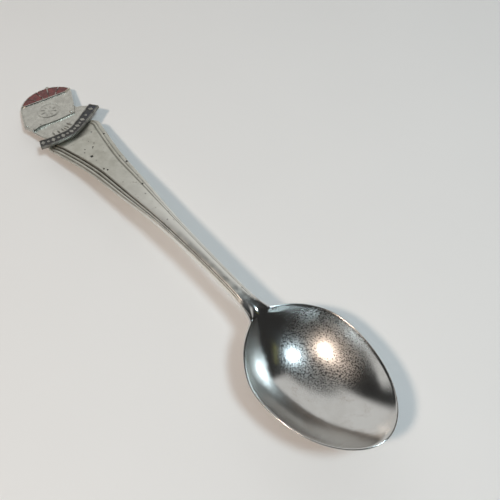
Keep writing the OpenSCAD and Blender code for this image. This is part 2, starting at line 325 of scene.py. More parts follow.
def make_spoon():
    rows = spoon_plan()
    s = np.array([r[0] for r in rows])
    y = np.array([r[1] for r in rows])
    d = np.array([r[2] for r in rows])
    k = np.array([r[3] for r in rows])[:, None]
    rounded = np.array([r[4] for r in rows])[:, None]
    upper = top_height(s, y)
    drop = edge_thickness(s) / 2 * (1 - np.sqrt(1 - np.clip((rounded - d) / rounded, 0, 1) ** 2))
    line = d / k
    threads = np.where(line < THREAD_D, 1, bead(line, THREAD_D, THREAD_HALF))
    threads = np.maximum(threads, bead(line, FINE_D, FINE_HALF))
    crest = np.maximum(threads, ramp(PANEL_FROM, PANEL_TO, line))
    groove = (1 - crest) * ramp(BORDER_FROM, BORDER_TO, s)
    worn_side = mix(WORN_SIDE, 1, ramp(-1.5, 1.5, y))
    top = upper - drop - GROOVE_H * k * groove * worn_side
    under = upper - thickness(s, y) + drop
    count, width = s.shape
    index_top = np.arange(count * width).reshape(count, width)
    rim = np.zeros((count, width), bool)
    rim[0] = rim[-1] = True
    rim[:, 0] = rim[:, -1] = True
    index_under = index_top.copy()
    index_under[~rim] = count * width + np.arange((~rim).sum())
    points = np.concatenate([
        place(s.ravel(), y.ravel(), top.ravel()), place(s[~rim], y[~rim], under[~rim]),
    ])

    def quads(i):
        return np.stack([i[:-1, :-1], i[1:, :-1], i[1:, 1:], i[:-1, 1:]], -1).reshape(-1, 4)

    faces = np.concatenate([quads(index_top), quads(index_under)[:, ::-1]])
    underside = np.zeros((~rim).sum())
    return build("spoon_body", points, faces, groove=np.concatenate([groove.ravel(), underside]))


# --- badge: drawn flat, u along the spoon from HANDLE_S, v across, w up from the plate's back ----

PLATE_T = 0.5
RELIEF_H = 0.35
ENAMEL_H = 0.22
WALL_W = 0.3
FIELD_H = 0.16                              # rise of the shield's field over the plate
WEB_SINK = 0.12                             # how far the web lies under the plate's face
TOP_W = PLATE_T + RELIEF_H
FLOOR_W = TOP_W - ENAMEL_H
CREST_C = np.array([13.9, -1.5])
CREST_R = 7.6
CREST_FROM, CREST_TO = -70, 60
CAP_D, CAP_A, CAP_FROM = 3.3, -11, -67
CELLS = 5
CELL_A, CELL_WALL_A = 23.4, 1.7
SCROLL_W = 2.6
SCROLL_PATH = np.array([
    [2.2, 8.0], [1.4, 5.6], [0.9, 2.8], [0.8, 0.2], [1.7, -2.2], [3.2, -4.8], [5.8, -9.2],
])
SCROLL_STEPS = 72
WEB_JOIN = 0.17                             # where the web's left side meets the scroll
POOL_FROM, POOL_TO = 0.02, 0.98             # ends of the scroll's enamel, as parts of its length
ROW_FROM, ROW_TO = 0.03, 0.97               # ends of its row of ornaments
ORNAMENTS = 13
PELLET_R = 0.34
LOZENGE = [(0.5, 0), (0, 0.75), (-0.5, 0), (0, -0.75)]
KNOB_R = 0.65
KNOB_AT = CREST_C + [CREST_R - 0.2, -2.9]
BEAD_R = 0.4
CORNER_BEADS = [(10.6, 7.0), (8.3, 6.2), (8.6, 4.2), (7.9, -3.7)]
WALL_SLOPE = 0.07                           # run of a wall's slanted side
PLATE_ROUND = 0.14                          # rounding of the plate's outer edge
PLATE_STEP, PLATE_CLEAR = 0.15, 0.07        # grid of the struck face, and its gap from the walls
POOL_STEP, POOL_CLEAR = 0.22, 0.08          # the same for the enamel


def badge_place(points, w):
    """Badge points, drawn flat, in the frame."""
    u, v = np.asarray(points, float).T
    s = HANDLE_S + u * math.cos(TILT) + w * math.sin(TILT)
    z = BADGE_REST - u * math.sin(TILT) + w * math.cos(TILT)
    return place(s, v, z)


def polar(centre, r, degrees):
    a = np.radians(degrees)
    return np.asarray(centre) + np.stack([r * np.cos(a), r * np.sin(a)], -1)


def arc(centre, r, a, b, n):
    return polar(centre, r, np.linspace(a, b, n + 1))


def path(p, t):
    """A smooth path through the points, for t from 0 to 1."""
    p = np.asarray(p, float)
    x = np.clip(np.asarray(t, float), 0, 1) * (len(p) - 1)
    i = np.minimum(np.floor(x).astype(int), len(p) - 2)
    f = (x - i)[..., None]
    a, b, c, d = (p[np.clip(i + o, 0, len(p) - 1)] for o in (-1, 0, 1, 2))
    return b + f / 2 * (c - a + f * (2 * a - 5 * b + 4 * c - d + f * (3 * b - a - 3 * c + d)))


def heading(t):
    way = path(SCROLL_PATH, np.minimum(1, t + 0.01)) - path(SCROLL_PATH, np.maximum(0, t - 0.01))
    return way / np.linalg.norm(way, axis=-1, keepdims=True)


def beside(t, w):
    t = np.asarray(t, float)
    way = heading(t)
    return path(SCROLL_PATH, t) + w * np.stack([-way[..., 1], way[..., 0]], -1)


def band(a, b, w):
    t = np.linspace(a, b, SCROLL_STEPS + 1)
    return np.concatenate([beside(t, -w), beside(t[::-1], w)])


def inset(p, d):
    """The outline d further in, for points that run anticlockwise."""
    before, after = p - np.roll(p, 1, 0), np.roll(p, -1, 0) - p
    left = [np.stack([-e[:, 1], e[:, 0]], 1) / np.linalg.norm(e, axis=1)[:, None] for e in (before, after)]
    m = left[0] + left[1]
    return p + 2 * d / np.maximum(0.6, (m * m).sum(1))[:, None] * m


def spaced(p, step, closed=True):
    """The outline with points no further apart than step."""
    ends = np.roll(p, -1, 0) if closed else p[1:]
    parts = []
    for a, b in zip(p, ends):
        n = max(1, math.ceil(np.linalg.norm(b - a) / step))
        parts.append(a + (b - a) * (np.arange(n) / n)[:, None])
    if not closed:
        parts.append(p[-1:])
    return np.concatenate(parts)


def depth(p, q):
    """How far inside the outline p each point of q lies, negative outside."""
    best = np.full(len(q), 1e9)
    inside = np.zeros(len(q), bool)
    for a, b in zip(p, np.roll(p, -1, 0)):
        e = b - a
        if not e.any():
            continue
        t = np.clip(((q - a) @ e) / (e @ e), 0, 1)
        best = np.minimum(best, np.hypot(*(q - a - t[:, None] * e).T))
        crosses = (a[1] > q[:, 1]) != (b[1] > q[:, 1])
        if a[1] != b[1]:
            inside ^= crosses & (q[:, 0] < a[0] + (q[:, 1] - a[1]) / (b[1] - a[1]) * e[0])
    return np.where(inside, best, -best)


def line_distance(p, q):
    """Distance from each point of q to the open line p, and how far along the line it is, 0 to 1."""
    best, share = np.full(len(q), 1e9), np.zeros(len(q))
    for i, (a, b) in enumerate(zip(p[:-1], p[1:])):
        e = b - a
        t = np.clip(((q - a) @ e) / (e @ e), 0, 1)
        far = np.hypot(*(q - a - t[:, None] * e).T)
        share = np.where(far < best, (i + t) / (len(p) - 1), share)
        best = np.minimum(best, far)
    return best, share


CREST_ARC = arc(CREST_C, CREST_R, CREST_FROM, CREST_TO, 60)
SHIELD = np.concatenate([CREST_ARC, [
    (14.3, 6.4), (12.1, 7.1), (10.8, 7.6), (9.2, 7.1), (7.9, 6.7),
    (8.2, 4.6), (7.9, 2.4), (7.4, 0), (7.0, -4.2), (9.3, -5.5), (12.9, -7.1),
]])


def plate_outline():
    """Round the crest and its knob, down the web, round the scroll and back."""
    off = KNOB_AT - CREST_C
    far = np.linalg.norm(off)
    way = math.degrees(math.atan2(off[1], off[0]))
    gap = math.degrees(math.acos((CREST_R ** 2 + far ** 2 - KNOB_R ** 2) / (2 * CREST_R * far)))
    open_a = math.degrees(math.acos((far ** 2 + KNOB_R ** 2 - CREST_R ** 2) / (2 * far * KNOB_R)))
    return np.concatenate([
        arc(CREST_C, CREST_R, CREST_FROM, way - gap, 26),
        arc(KNOB_AT, KNOB_R, way - 180 + open_a, way + 180 - open_a, 14)[1:-1],
        arc(CREST_C, CREST_R, way + gap, CREST_TO, 38),
        [(14.3, 6.4), (12.1, 7.1), (10.8, 7.6), (9.2, 7.1), (7.6, 6.8), (6.0, 6.5), (4.2, 6.0)],
        beside(np.linspace(WEB_JOIN, 0, 10), SCROLL_W / 2),
        beside(np.linspace(0, 1, SCROLL_STEPS + 1), -SCROLL_W / 2),
        beside(np.array([1.0]), SCROLL_W / 2),
        [(8.3, -6.9), (9.3, -5.5), (12.9, -7.1)],
    ])


def cap_edge(angles, within):
    r = np.minimum(CREST_R - 1.6 * WALL_W, CAP_D / np.cos(np.radians(angles - CAP_A))) - within
    return polar(CREST_C, r, angles)


def cap_cell(i):
    start = CAP_FROM + CELL_A * i
    end = start + CELL_A - CELL_WALL_A
    outer = arc(CREST_C, CREST_R - WALL_W, start, end, 10)
    return np.concatenate([outer, cap_edge(np.linspace(end, start, 9), 0)])


def cap_ground():
    start, end = CAP_FROM - CELL_WALL_A, CAP_FROM + CELLS * CELL_A
    outer = arc(CREST_C, CREST_R, start, end, 48)
    return np.concatenate([outer, cap_edge(np.linspace(end, start, 40), WALL_W)])


def scroll_ground():
    return band(POOL_FROM, POOL_TO, SCROLL_W / 2 - WALL_W)


def ornament(i):
    """A lozenge or a pellet on the scroll."""
    t = np.array(mix(ROW_FROM, ROW_TO, (i + 0.5) / ORNAMENTS))
    x, y = heading(t)
    shape = np.array(LOZENGE) if i % 2 == 0 else arc((0, 0), PELLET_R, 0, 337.5, 15)
    return path(SCROLL_PATH, t) + shape @ np.array([[x, y], [-y, x]])


# Soft raised work, plain geometry only: a rosette on the shield and short ridges on the web.
ROSETTE_AT = np.array([12.4, 0.0])
PETALS = 8
RIDGES = 6
SWELLS = [(arc(ROSETTE_AT, 2.7, 0, 360, 32), 0.26, 0.2)]
for petal in np.arange(PETALS) * 360 / PETALS:
    SWELLS.append(([polar(ROSETTE_AT, r, petal) for r in (0.9, 2.1)], 0.26, 0.2))
for along_scroll in np.linspace(0.27, 0.67, RIDGES):
    SWELLS.append(([beside(along_scroll, SCROLL_W / 2 + out) for out in (0.8, 2.2)], 0.28, 0.16))
# Small bumps: centre, radius and height.
SPOTS = [(ROSETTE_AT, 0.5, 0.22)]
# Across the spoon: where the shield's lower wall sinks to a soft step.
LOW_WALL_FROM, LOW_WALL_TO = 2.6, 3.4


def swell_heights(q):
    rise = np.zeros(len(q))
    for points, half, height in SWELLS:
        far, share = line_distance(spaced(path(points, np.linspace(0, 1, 25)), 9, False), q)
        taper = 0.45 + 0.55 * np.sin(math.pi * np.clip(share, 0.04, 0.96))
        rise = np.maximum(rise, height * taper * np.exp(-(far / (half * taper)) ** 2))
    for centre, r, height in SPOTS:
        rise += height * np.exp(-(np.hypot(*(q - centre).T) / r) ** 2)
    return rise


def unevenness(q, size, seed):
    """Smooth small waves, a sum of a few sines in seeded directions."""
    wave = np.zeros(len(q))
    pick = np.random.default_rng(seed)
    for _ in range(9):
        a, phase = pick.uniform(0, 2 * math.pi, 2)
        pitch = size * pick.uniform(0.6, 1.6)
        wave += np.sin((q[:, 0] * math.cos(a) + q[:, 1] * math.sin(a)) * 2 * math.pi / pitch + phase)
    return wave / 9


def outer_slope(d):
    """A wall's outer side, rising to its outline."""
    return ramp(-WALL_SLOPE, 0, d)


def inner_slope(d):
    """A wall's inner side, falling inside its outline."""
    return ramp(0, WALL_SLOPE, d)


def domes():
    """The round bosses on the plate's edge: centre, radius and top."""
    return [(c, BEAD_R, TOP_W + 0.1) for c in CORNER_BEADS] + [(KNOB_AT, KNOB_R, TOP_W + 0.02)]


def plate_heights(q):
    """The struck face's height over the plate's back, its darkening from dirt in its recesses and painted
    shade on the shield's wall slopes, and its share of the scroll.
    """
    soft = swell_heights(q)
    web = PLATE_T - WEB_SINK + soft * 1.5
    shield = depth(SHIELD, q)
    field = PLATE_T + FIELD_H + 0.7 * soft
    sunk = 1 - ramp(LOW_WALL_FROM, LOW_WALL_TO, q[:, 1])
    sunk = sunk * ramp(9.6, 8.8, q[:, 0])
    crown = mix(TOP_W + 0.06 * unevenness(q, 1.6, 21), field + 0.03, sunk)
    inner = mix(crown, field, inner_slope(shield - WALL_W))
    w = mix(web, inner, outer_slope(shield))
    ground = depth(cap_ground(), q)
    w = mix(w, TOP_W, outer_slope(ground))
    cells = np.zeros(len(q))
    for i in range(CELLS):
        cells = np.maximum(cells, inner_slope(depth(cap_cell(i), q)))
    w = mix(w, FLOOR_W, cells)
    scroll = depth(band(0, 1, SCROLL_W / 2), q)
    w = mix(w, TOP_W, outer_slope(scroll))
    pools = inner_slope(depth(scroll_ground(), q))
    shapes = np.zeros(len(q))
    for i in range(ORNAMENTS):
        shapes = np.maximum(shapes, outer_slope(depth(ornament(i), q)))
    w = mix(w, FLOOR_W, pools * (1 - shapes))
    for centre, r, top in domes():
        far = np.hypot(*(q - centre).T)
        dome = top - r + np.sqrt(np.maximum(0, r * r - far * far))
        w = np.where(far < r, np.maximum(w, dome), w)
    enamelled = np.maximum(cells, pools)
    ribs = ramp(WALL_W, WALL_W + 0.1, ground) * (1 - cells)
    w = w + 0.012 * unevenness(q, 1.3, 3) * (1 - enamelled)
    # Painted shade: the middle of the shield's wall slope is darkened together with the dirt in the low
    # places.
    wall_slope_shade = 4 * outer_slope(shield) * (1 - outer_slope(shield))
    recess = np.maximum(0, TOP_W - w) / RELIEF_H
    recess = np.maximum(recess, 2.1 * ribs * (unevenness(q, 3.0, 8) > -0.1))
    recess = np.maximum(recess, 1.9 * wall_slope_shade)
    lighter = 0.55 * shapes * (0.85 + 0.5 * unevenness(q, 2.0, 12))
    on_scroll = ramp(-0.1, 0.1, scroll) * (1 - lighter)
    return w, recess, on_scroll


def triangulate(points, edges, outline):
    """Constrained triangles over the points, kept where their middle is inside the outline."""
    found, _, faces, _, _, _ = delaunay_2d_cdt([Vector(p) for p in points], edges, [], 0, 1e-5)
    found = np.array([tuple(p) for p in found])
    faces = np.array([tuple(f) for f in faces])
    middle = found[faces].mean(1)
    faces = faces[depth(outline, middle) > 1e-4]
    a, b, c = found[faces].transpose(1, 0, 2)
    turn = (b - a)[:, 0] * (c - a)[:, 1] - (b - a)[:, 1] * (c - a)[:, 0]
    faces[turn < 0] = faces[turn < 0][:, ::-1]
    return found, faces[np.abs(turn) > 1e-7]


def nearest(points, wanted):
    return [int(np.argmin(np.hypot(*(points - p).T))) for p in wanted]


def ring_edges(first, count):
    return [(first + i, first + (i + 1) % count) for i in range(count)]


def join_rings(rings):
    """All the rings' points in one list, and the edges round each ring."""
    points, edges = [], []
    for ring in rings:
        edges += ring_edges(len(points), len(ring))
        points += [tuple(p) for p in ring]
    return points, edges


def clear_spots(points, spots, clear):
    """The spots that lie further than clear from every point."""
    cells = {}
    for p in points:
        cells.setdefault((round(p[0] / clear), round(p[1] / clear)), []).append(p)
    kept = []
    for p in spots:
        x, y = round(p[0] / clear), round(p[1] / clear)
        near = [r for i in (-1, 0, 1) for j in (-1, 0, 1) for r in cells.get((x + i, y + j), [])]
        if all(math.hypot(p[0] - r[0], p[1] - r[1]) > clear for r in near):
            kept.append(tuple(p))
    return kept


def grid(outline, step, margin):
    """Points in staggered rows inside the outline."""
    lo, hi = outline.min(0), outline.max(0)
    row = np.arange(lo[0], hi[0], step)
    spots = np.concatenate([
        np.stack([row + step / 2 * (i % 2), np.full(len(row), y)], 1)
        for i, y in enumerate(np.arange(lo[1], hi[1], step * 0.87))
    ])
    return spots[depth(outline, spots) > margin]


def relief_rings():
    """The lines that the relief's walls follow, each at the foot, the middle and the top of the slope."""
    rings = []
    holes = [cap_cell(i) for i in range(CELLS)] + [scroll_ground(), inset(SHIELD, WALL_W)]
    raised = [ornament(i) for i in range(ORNAMENTS)]
    raised += [SHIELD, cap_ground(), band(0, 1, SCROLL_W / 2)]
    for p, sign in [(p, 1) for p in holes] + [(p, -1) for p in raised]:
        for share in (0, 0.33, 0.67, 1):
            rings.append(spaced(inset(p, sign * share * WALL_SLOPE), 0.3))
    for centre, r, _ in domes():
        for share in (0.4, 0.72, 0.92, 1):
            rings.append(arc(centre, r * share, 0, 345, 23))
    return rings


def make_plate():
    outline = spaced(plate_outline(), 0.3)
    edge_rings = [inset(outline, PLATE_ROUND * share) for share in (0, 0.08, 0.3, 0.6, 1)]
    points, edges = join_rings(edge_rings)
    for ring in relief_rings():
        inside = depth(edge_rings[-1], ring) > 0.02
        number = len(points) + np.cumsum(inside) - 1
        after, follows = np.roll(number, -1), np.roll(inside, -1)
        edges += [(a, b) for a, b in zip(number[inside & follows], after[inside & follows])]
        points += [tuple(p) for p in ring[inside]]
    points += clear_spots(points, grid(outline, PLATE_STEP, PLATE_ROUND + 0.05), PLATE_CLEAR)
    found, faces = triangulate(points, edges, outline)
    w, recess, on_scroll = plate_heights(found)
    from_edge = depth(outline, found)
    short = np.clip((PLATE_ROUND - from_edge) / PLATE_ROUND, 0, 1)
    w = w - PLATE_ROUND * (1 - np.sqrt(1 - short ** 2))
    # The side wall and the back start from the ring that lies on the outline.
    rim = nearest(found, outline)
    n, base = len(outline), len(found)
    back = inset(outline, 0.08)
    back_points, back_faces = triangulate([tuple(p) for p in back], ring_edges(0, n), back)
    coordinates = np.concatenate([
        badge_place(found, w), badge_place(outline, np.full(n, 0.1)),
        badge_place(back_points, np.zeros(len(back_points))),
    ])
    sides = []
    foot = [base + n + i for i in nearest(back_points, back)]
    for i in range(n):
        j = (i + 1) % n
        sides.append((rim[i], base + i, base + j, rim[j]))
        sides.append((base + i, foot[i], foot[j], base + j))
    underneath = [tuple(base + n + i for i in f[::-1]) for f in back_faces]
    all_faces = [tuple(f) for f in faces] + sides + underneath
    # Painted shade: the side wall along the scroll is marked so that the scroll's darkening covers it.
    scroll_wall_shade = np.zeros(n + len(back_points))
    scroll_wall_shade[:n] = ramp(-0.2, 0, depth(band(0, 1, SCROLL_W / 2), outline))
    return build(
        "badge_plate", coordinates, all_faces, 50,
        recess=np.concatenate([recess, scroll_wall_shade]), scroll=np.concatenate([on_scroll, scroll_wall_shade]),
    )


def make_pool(name, outline, islands=(), dome=0.02):
    """Enamel in one cell: a slightly domed top that climbs its walls a little, and a flat underside."""
    rings = [spaced(inset(outline, WALL_SLOPE * 0.5 + d), 0.3) for d in (0, 0.03, 0.1)]
    holes = [spaced(inset(p, -WALL_SLOPE * 0.5), 0.2) for p in islands]
    around = [spaced(inset(p, -WALL_SLOPE * 0.5 - 0.05), 0.2) for p in islands]
    points, edges = join_rings(rings + holes + around)
    points += clear_spots(points, grid(rings[-1], POOL_STEP, POOL_CLEAR), POOL_CLEAR)
    found, faces = triangulate(points, edges, rings[0])
    for hole in holes:
        faces = faces[depth(hole, found[faces].mean(1)) < 0]
    used = np.unique(faces)
    renumber = np.full(len(found), -1)
    renumber[used] = np.arange(len(used))
    found, faces = found[used], renumber[faces]
    wall = np.minimum.reduce([depth(rings[0], found)] + [-depth(h, found) for h in holes])
    level = ENAMEL_H - 0.06 + dome * ramp(0.1, 0.8, wall) + 0.035 * np.exp(-np.maximum(wall, 0) / 0.05)
    level = level + 0.008 * unevenness(found, 1.0, len(name))
    n = len(found)
    coordinates = np.concatenate([
        badge_place(found, FLOOR_W + level), badge_place(found, np.full(n, FLOOR_W)),
    ])
    around_faces = {e: True for a, b, c in faces for e in ((a, b), (b, c), (c, a))}
    rim = [e for e in around_faces if (e[1], e[0]) not in around_faces]
    sides = [(a, a + n, b + n, b) for a, b in rim]
    all_faces = [tuple(f) for f in faces] + sides + [tuple(n + i for i in f[::-1]) for f in faces]
    return build(name, coordinates, all_faces, 50)


def make_solder():
    """A thin wedge under the plate, with an uneven fillet that shows along the scroll's lower edge."""
    end_x, bulge, pad = 2.2, 2.4, 5.2
    y = np.linspace(-pad, pad, 25)
    far_side = np.stack([end_x + bulge * (1 - (y / pad) ** 2), y], 1)
    near_side = np.stack([np.interp(y, [-pad, 0, pad], [end_x, 0.7, 0.9])[::-1], y[::-1]], 1)
    outline = spaced(np.concatenate([far_side, near_side[1:-1]]), 0.4)
    ripple = 0.1 * unevenness(outline, 2.0, 5)
    layers = [(0.0, 0.0), (0.04, -0.03), (0.06, -0.07), (0.02, -SOLDER_T)]
    points, faces = [], []
    n = len(outline)
    for out, w in layers:
        layer = inset(outline, 0.12 - out) + ripple[:, None] * 0.3
        points.append(badge_place(layer, np.full(n, w)))
    for k in range(len(layers) - 1):
        for i in range(n):
            j = (i + 1) % n
            faces.append((k * n + i, (k + 1) * n + i, (k + 1) * n + j, k * n + j))
    faces.append(tuple(range(n)))
    faces.append(tuple(reversed(range((len(layers) - 1) * n, len(layers) * n))))
    return build("solder_joint", np.concatenate(points), faces, 50)


# --- materials ------------------------------------------------------------------------------------

class Shader:
    """Short calls for building one material's nodes."""

    def __init__(self, name):
        self.material = bpy.data.materials.new(name)
        self.material.use_nodes = True
        self.tree = self.material.node_tree
        self.shader = self.tree.nodes["Principled BSDF"]
        coordinates = self.add("ShaderNodeTexCoord").outputs["Object"]
        drawn = self.add("ShaderNodeVectorMath", (coordinates, (1 / MM,) * 3), operation="MULTIPLY")
        self.mm = drawn.outputs[0]

    def add(self, kind, inputs=(), **settings):
        node = self.tree.nodes.new(kind)
        for key, value in settings.items():
            setattr(node, key, value)
        pairs = inputs.items() if isinstance(inputs, dict) else enumerate(inputs)
        for key, value in pairs:
            if isinstance(value, bpy.types.NodeSocket):
                self.tree.links.new(value, node.inputs[key])
            elif value is not None:
                node.inputs[key].default_value = value
        return node

    def set(self, **values):
        for key, value in values.items():
            socket = self.shader.inputs[key.replace("_", " ")]
            if isinstance(value, bpy.types.NodeSocket):
                self.tree.links.new(value, socket)
            else:
                socket.default_value = value

    def math(self, operation, a, b=0.0, clamp=False):
        return self.add("ShaderNodeMath", (a, b), operation=operation, use_clamp=clamp).outputs[0]

    def span(self, value, low, high, to_low=0.0, to_high=1.0):
        """A smooth step of value from low to high."""
        ends = (value, low, high, to_low, to_high)
        return self.add("ShaderNodeMapRange", ends, interpolation_type="SMOOTHSTEP").outputs[0]

    def noise(self, scale, detail=3.0, rough=0.5, stretch=None, turn=0.0, distortion=0.0):
        """Noise whose scale is in waves for each millimetre."""
        where = self.mm
        if stretch or turn:
            where = self.add("ShaderNodeMapping", {
                "Vector": where, "Rotation": (0, 0, math.radians(turn)), "Scale": stretch or (1, 1, 1),
            }).outputs[0]
        return self.add("ShaderNodeTexNoise", {
            "Vector": where, "Scale": scale, "Detail": detail, "Roughness": rough,
            "Distortion": distortion,
        }).outputs["Fac"]

    def blend(self, factor, a, b):
        node = self.tree.nodes.new("ShaderNodeMix")
        node.data_type = "RGBA"
        for socket, value in zip((node.inputs[0], node.inputs[6], node.inputs[7]), (factor, a, b)):
            if isinstance(value, bpy.types.NodeSocket):
                self.tree.links.new(value, socket)
            elif isinstance(value, (int, float)):
                socket.default_value = value
            else:
                socket.default_value = (*value, 1)
        return node.outputs[2]

    def bump(self, height, distance, strength=1.0, after=None):
        inputs = {"Strength": strength, "Distance": distance, "Height": height}
        if after:
            inputs["Normal"] = after
        return self.add("ShaderNodeBump", inputs).outputs[0]

    def attribute(self, name):
        return self.add("ShaderNodeAttribute", attribute_name=name).outputs["Fac"]

    def axis(self, name):
        return self.add("ShaderNodeSeparateXYZ", (self.mm,)).outputs[name]

    def hairlines(self, turns, scale, low):
        """Fine scratches: noise stretched along several ways, cut so that only thin lines are left."""
        total = None
        for turn in turns:
            lines = self.span(self.noise(scale, 2, 0.5, (0.03, 1, 1), turn, 0.4), low, low + 0.08)
            total = lines if total is None else self.math("MAXIMUM", total, lines)
        return total


# Dark pits in the plating: share of the handle's length from the neck, share of its half width, size.
PITS = [
    (0.83, 0.26, 0.55), (0.875, -0.1, 0.3), (0.885, 0.22, 0.22), (0.735, 0.36, 0.3), (0.72, 0.27, 0.34),
    (0.918, -0.86, 0.36), (0.71, -0.88, 0.5), (0.565, -0.62, 0.36), (0.965, -0.5, 0.3),
]
HAZE_AT = (19.0 - LENGTH / 2, -5.5, 3.0)    # middle of the bowl's scuffed patch


def spot_mask(m, s, y, size):
    """1 inside a ragged round spot at s, y."""
    at = (s - (LENGTH / 2), y, 0)
    flat = m.add("ShaderNodeVectorMath", (m.mm, (1, 1, 0)), operation="MULTIPLY").outputs[0]
    far = m.add("ShaderNodeVectorMath", (flat, at), operation="DISTANCE").outputs["Value"]
    ragged = m.math("ADD", far, m.math("MULTIPLY", m.math("SUBTRACT", m.noise(2.2, 2), 0.5), size))
    return m.span(ragged, size * 0.75, size * 0.4)


def plated_steel():
    """Polished in the bowl, satin and tarnished on the handle, dark in the border's grooves with dirt and
    painted shade.
    """
    m = Shader("plated_steel")
    s = m.math("ADD", m.axis("X"), LENGTH / 2)
    handle = m.span(s, 32, 38)
    groove = m.attribute("groove")
    cloud = m.noise(0.12, 4, 0.6)
    grain = m.noise(4.5, 3, 0.65)
    brown = m.math("MULTIPLY", m.span(m.noise(0.35, 4, 0.6), 0.5, 0.72), m.span(grain, 0.45, 0.62))
    bowl = m.blend(m.span(cloud, 0.35, 0.7), (0.64, 0.635, 0.62), (0.58, 0.57, 0.55))
    bowl = m.blend(m.math("MULTIPLY", brown, 0.5), bowl, (0.3, 0.22, 0.17))
    satin = m.blend(m.span(m.noise(0.5, 5, 0.65), 0.35, 0.7), (0.58, 0.57, 0.51), (0.48, 0.47, 0.41))
    satin = m.blend(m.span(s, 88, 52), satin, (0.86, 0.85, 0.8))
    colour = m.blend(handle, bowl, satin)
    worn = m.math("MULTIPLY", m.span(m.noise(1.1, 4, 0.6, (0.35, 1, 1)), 0.35, 0.6), 0.2)
    # Dark grooves: partly dirt, partly painted shade, stronger on the +y border than on the -y border.
    dirt_and_shade = m.math("SUBTRACT", m.span(groove, 0.15, 0.6), worn, True)
    dirt_and_shade = m.math("MULTIPLY", dirt_and_shade, m.span(m.axis("Y"), -1.5, 1.5, 0.4, 1.0))
    colour = m.blend(dirt_and_shade, colour, (0.035, 0.031, 0.024))
    pits = None
    for share, across, size in PITS:
        where = mix(NECK_S, HANDLE_S, share)
        mask = spot_mask(m, where, across * float(half_width(where)), size)
        pits = mask if pits is None else m.math("MAXIMUM", pits, mask)
    specks = m.math("MULTIPLY", m.span(m.noise(1.6, 2), 0.69, 0.74), handle)
    pits = m.math("MAXIMUM", pits, m.math("MULTIPLY", specks, 0.6))
    colour = m.blend(pits, colour, (0.03, 0.026, 0.022))
    far = m.add("ShaderNodeVectorMath", (m.mm, HAZE_AT), operation="DISTANCE").outputs["Value"]
    amount = m.span(m.math("ADD", far, m.math("MULTIPLY", cloud, 6)), 15, 8, 0.06, 0.9)
    haze = m.math("MULTIPLY", m.span(m.noise(4.6, 2, 0.6), 0.34, 0.6), amount)
    haze = m.math("MULTIPLY", haze, m.math("SUBTRACT", 1, handle))
    rough_bowl = m.math("ADD", m.math("MULTIPLY", haze, 0.33), m.span(cloud, 0.3, 0.7, 0.1, 0.16))
    rough_satin = m.span(m.noise(0.8, 4, 0.6), 0.3, 0.7, 0.3, 0.44)
    rough = m.add("ShaderNodeMix", {0: handle, 2: rough_bowl, 3: rough_satin}).outputs[0]
    rough = m.math("ADD", rough, m.math("MULTIPLY", dirt_and_shade, 0.3))
    rough = m.math("ADD", rough, m.math("MULTIPLY", pits, 0.3))
    normal = m.bump(haze, 0.00001, 0.5)
    normal = m.bump(m.noise(0.5, 2, 0.4), 0.00002, 0.3, normal)
    normal = m.bump(m.math("SUBTRACT", 1, pits), 0.0002, 0.9, normal)
    m.set(Metallic=1.0, Base_Color=colour, Roughness=rough, Normal=normal)
    return m.material


def badge_metal():
    """Satin struck metal: darker with dirt in the relief and painted shade on the shield's wall slopes;
    darker on the scroll and its ornaments, with painted shade on the scroll's side wall.
    """
    m = Shader("badge_metal")
    recess = m.attribute("recess")
    scroll = m.attribute("scroll")
    patch = m.noise(0.7, 5, 0.65)
    colour = m.blend(m.span(patch, 0.35, 0.68), (0.58, 0.57, 0.52), (0.46, 0.45, 0.41))
    # Dirt in the relief's low places and on its ribs, and painted shade on the shield's wall slopes.
    ragged = m.math("ADD", recess, m.math("MULTIPLY", m.noise(1.3, 4), 0.5))
    dirt_and_shade = m.math("MULTIPLY", m.span(ragged, 1.55, 2.15), 0.85)
    colour = m.blend(dirt_and_shade, colour, (0.07, 0.062, 0.05))
    # Darker on the scroll, less so on its ornaments; on the scroll's side wall this darkening is painted
    # shade.
    scroll_dark_and_wall_shade = m.math("MULTIPLY", scroll, m.span(m.noise(0.9, 3), 0.3, 0.6, 0.95, 0.6))
    colour = m.blend(scroll_dark_and_wall_shade, colour, (0.09, 0.085, 0.08))
    rough = m.span(m.noise(1.5, 4, 0.6), 0.3, 0.7, 0.24, 0.42)
    rough = m.math("ADD", rough, m.math("MULTIPLY", m.math("MAXIMUM", dirt_and_shade, scroll_dark_and_wall_shade), 0.3))
    normal = m.bump(m.noise(2.5, 3, 0.6), 0.00002, 0.4)
    normal = m.bump(m.hairlines((20, 130), 1.8, 0.7), 0.00001, 0.3, normal)
    m.set(Metallic=1.0, Base_Color=colour, Roughness=rough, Normal=normal)
    return m.material


def solder_metal():
    m = Shader("solder")
    colour = m.blend(m.noise(1.4, 4), (0.24, 0.235, 0.22), (0.12, 0.115, 0.105))
    rough = m.span(m.noise(2.0, 3), 0.3, 0.7, 0.55, 0.75)
    m.set(Metallic=1.0, Base_Color=colour, Roughness=rough, Normal=m.bump(m.noise(2.5, 4), 0.00008, 0.7))
    return m.material


def red_enamel():
    """Opaque dark red glass, scuffed and a little cloudy."""
    m = Shader("red_enamel")
    colour = m.blend(m.span(m.noise(0.8, 4), 0.3, 0.7), (0.16, 0.016, 0.013), (0.075, 0.008, 0.008))
    scuff = m.math("MULTIPLY", m.span(m.noise(1.1, 5, 0.7), 0.6, 0.72), 0.3)
    colour = m.blend(scuff, colour, (0.3, 0.14, 0.12))
    rough = m.span(m.noise(1.7, 4), 0.3, 0.7, 0.12, 0.3)
    m.set(Base_Color=colour, Roughness=rough, IOR=1.52, Normal=m.bump(m.noise(2.2, 3), 0.00003, 0.4))
    return m.material


